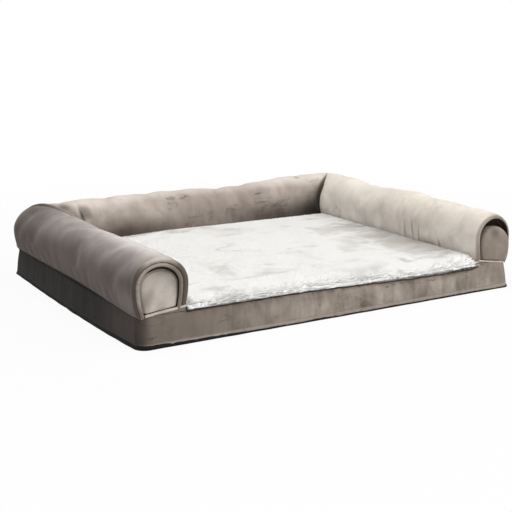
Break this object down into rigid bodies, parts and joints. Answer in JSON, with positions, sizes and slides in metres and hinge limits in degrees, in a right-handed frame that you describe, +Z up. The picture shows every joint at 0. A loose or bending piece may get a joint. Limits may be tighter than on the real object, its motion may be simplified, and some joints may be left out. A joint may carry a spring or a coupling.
{
  "type": "dog sofa bed",
  "caption": "Low rectangular pet bed: foam mattress in a zipped velvet cover, plush lying surface and stuffed bolsters on three sides, open along one long side.",
  "frame": {"origin": "centre of the underside, on the floor", "axes": "+X towards the right arm, -Y towards the open front, +Z up"},
  "size_m": [0.928, 0.7086, 0.175],
  "materials": {
    "canvas": "dark woven polyester canvas with rubber grip dots",
    "velvet": "short-pile crushed velvet, warm grey beige",
    "faux_fur": "off-white short plush faux fur",
    "foam": "open-cell polyurethane foam",
    "fibre_fill": "loose polyester fibre",
    "floor_cloth": "thin non-woven lining",
    "zip_tape": "woven polyester tape",
    "zip_coil": "moulded nylon coil",
    "zip_metal": "gunmetal lacquer on zinc"
  },
  "bodies": {
    "bed": {"base_panel": "canvas", "base_binding": "canvas", "foam_mattress": "foam", "front_gusset": "velvet", "left_gusset": "velvet", "right_gusset": "velvet", "back_gusset_upper": "velvet", "back_gusset_lower": "velvet", "bolster_floor": "floor_cloth", "sleeping_surface": "faux_fur", "left_bolster_cover": "velvet", "back_bolster_cover": "velvet", "right_bolster_cover": "velvet", "left_bolster_fill": "fibre_fill", "back_bolster_fill": "fibre_fill", "right_bolster_fill": "fibre_fill", "left_end_piping": "velvet", "right_end_piping": "velvet", "left_end_panel": "velvet", "right_end_panel": "velvet", "left_end_hem": "velvet", "right_end_hem": "velvet", "zip_tape_upper": "zip_tape", "zip_tape_lower": "zip_tape", "zip_coil_upper": "zip_coil", "zip_coil_lower": "zip_coil", "zip_top_stops": "zip_metal", "zip_bottom_stop": "zip_metal"},
    "slider": {"zip_slider": "zip_metal"},
    "pull": {"zip_pull": "zip_metal"}
  },
  "joints": [
    {"name": "zip_slide", "type": "slide", "parent": "bed", "child": "slider", "axis": [-1, 0, 0], "range_m": [0, 0.803]},
    {"name": "zip_pull_swing", "type": "hinge", "parent": "slider", "child": "pull", "pos_m": [0.4015, 0.34925, 0.03334], "axis": [0, 0.1122, -0.9937], "range_deg": [0, 180]}
  ]
}
